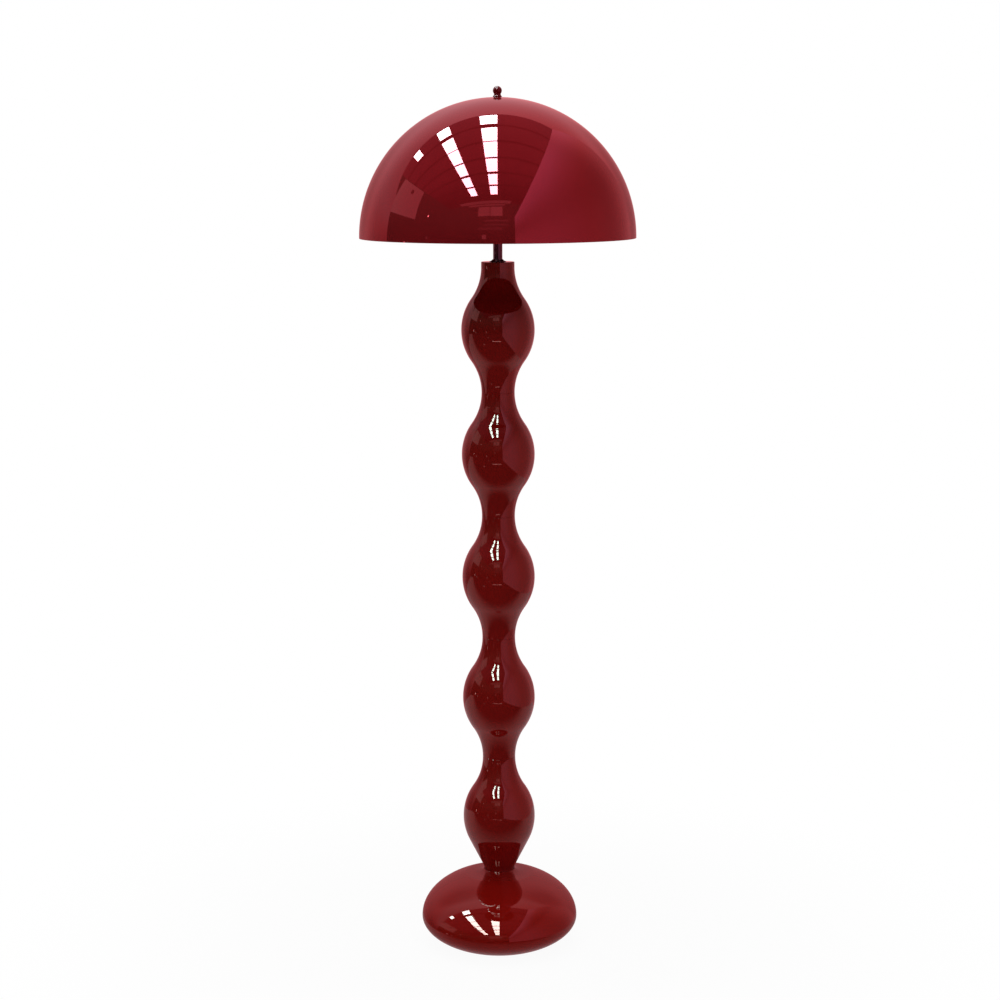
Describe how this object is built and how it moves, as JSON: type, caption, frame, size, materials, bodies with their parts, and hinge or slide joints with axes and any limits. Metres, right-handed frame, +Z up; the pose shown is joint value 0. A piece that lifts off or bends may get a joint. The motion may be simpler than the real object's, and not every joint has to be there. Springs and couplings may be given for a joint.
{
  "type": "floor lamp",
  "caption": "Floor lamp with a dome shade on a column of stacked rounded bulbs and a weighted pebble-shaped base, in deep red gloss lacquer.",
  "frame": {"origin": "on the floor, at the centre of the base's foot pad, under the lamp's axis", "axes": "+Z up along the column, -Y towards the front, +Y towards the cord gland"},
  "size_m": [0.4499, 0.45, 1.4344],
  "materials": {
    "shade_lacquer": "deep red gloss lacquer outside, dark red satin paint inside",
    "column_lacquer": "deep red gloss lacquer on cast resin",
    "base_lacquer": "deep red gloss lacquer on cast resin",
    "stem_lacquer": "dark red-brown lacquer on steel tube",
    "finial_lacquer": "deep red gloss lacquer",
    "cast_iron": "raw sand-cast iron",
    "zinc_steel": "zinc-plated steel",
    "black_rubber": "matt black rubber",
    "white_paint": "white powder coat",
    "holder_plastic": "white thermoset moulding",
    "ceramic": "unglazed steatite",
    "brass": "turned brass",
    "cap_metal": "nickel-plated rolled cap",
    "cap_insulator": "black glass insulator with a lead tip",
    "lamp_glass": "opal white glass",
    "cable_sheath": "grey cable sheath",
    "terminal_plastic": "natural nylon"
  },
  "bodies": {
    "stand": {"column_bulb_1": "column_lacquer", "column_bulb_2": "column_lacquer", "column_bulb_3": "column_lacquer", "column_bulb_4": "column_lacquer", "column_bulb_5": "column_lacquer", "base_shell": "base_lacquer", "stem_tube": "stem_lacquer", "stem_collar": "stem_lacquer", "ballast": "cast_iron", "base_plate": "zinc_steel", "plate_screws": "zinc_steel", "tie_tube": "zinc_steel", "tie_washer": "zinc_steel", "tie_nut": "zinc_steel", "top_washer": "zinc_steel", "top_nut": "zinc_steel", "hub_set_screw": "zinc_steel", "shade_stud": "zinc_steel", "foot_pad": "black_rubber", "cord_gland": "black_rubber", "seat_washer": "black_rubber", "cluster_hub": "white_paint", "hub_cover": "white_paint", "shade_seat": "white_paint", "arm_1": "white_paint", "arm_2": "white_paint", "arm_3": "white_paint", "holder_cap_1": "holder_plastic", "holder_body_1": "holder_plastic", "holder_cap_2": "holder_plastic", "holder_body_2": "holder_plastic", "holder_cap_3": "holder_plastic", "holder_body_3": "holder_plastic", "holder_contact_1": "ceramic", "holder_contact_2": "ceramic", "holder_contact_3": "ceramic", "inner_cable": "cable_sheath", "holder_leads": "cable_sheath", "terminal_block": "terminal_plastic"},
    "shade": {"shade": "shade_lacquer"},
    "finial_core": {"finial_insert": "brass"},
    "finial_knob": {"finial": "finial_lacquer"},
    "lamp_1_core": {"lamp_contact_1": "cap_insulator"},
    "lamp_1": {"lamp_cap_1": "cap_metal", "lamp_globe_1": "lamp_glass"},
    "lamp_2_core": {"lamp_contact_2": "cap_insulator"},
    "lamp_2": {"lamp_cap_2": "cap_metal", "lamp_globe_2": "lamp_glass"},
    "lamp_3_core": {"lamp_contact_3": "cap_insulator"},
    "lamp_3": {"lamp_cap_3": "cap_metal", "lamp_globe_3": "lamp_glass"}
  },
  "joints": [
    {"name": "shade_turn", "type": "hinge", "parent": "stand", "child": "shade", "pos_m": [0, 0, 1.19], "axis": [0, 0, 1], "continuous": true},
    {"name": "finial_rise", "type": "slide", "parent": "stand", "child": "finial_core", "axis": [0, 0, 1], "range_m": [0, 0.0101]},
    {"name": "finial_turn", "type": "hinge", "parent": "finial_core", "child": "finial_knob", "pos_m": [0, 0, 1.425], "axis": [0, 0, 1], "range_deg": [0, 3600]},
    {"name": "lamp_1_rise", "type": "slide", "parent": "stand", "child": "lamp_1_core", "axis": [0, 0, 1], "range_m": [0, 0.0183]},
    {"name": "lamp_1_turn", "type": "hinge", "parent": "lamp_1_core", "child": "lamp_1", "pos_m": [0, 0.062, 1.27], "axis": [0, 0, 1], "range_deg": [0, 1800]},
    {"name": "lamp_2_rise", "type": "slide", "parent": "stand", "child": "lamp_2_core", "axis": [0, 0, 1], "range_m": [0, 0.0183]},
    {"name": "lamp_2_turn", "type": "hinge", "parent": "lamp_2_core", "child": "lamp_2", "pos_m": [-0.05369, -0.031, 1.27], "axis": [0, 0, 1], "range_deg": [0, 1800]},
    {"name": "lamp_3_rise", "type": "slide", "parent": "stand", "child": "lamp_3_core", "axis": [0, 0, 1], "range_m": [0, 0.0183]},
    {"name": "lamp_3_turn", "type": "hinge", "parent": "lamp_3_core", "child": "lamp_3", "pos_m": [0.05369, -0.031, 1.27], "axis": [0, 0, 1], "range_deg": [0, 1800]}
  ],
  "couplings": [
    {"joint": "finial_rise", "follows": "finial_turn", "m_per_rad": 0.00015915},
    {"joint": "lamp_1_rise", "follows": "lamp_1_turn", "m_per_rad": 0.00057773},
    {"joint": "lamp_2_rise", "follows": "lamp_2_turn", "m_per_rad": 0.00057773},
    {"joint": "lamp_3_rise", "follows": "lamp_3_turn", "m_per_rad": 0.00057773}
  ]
}
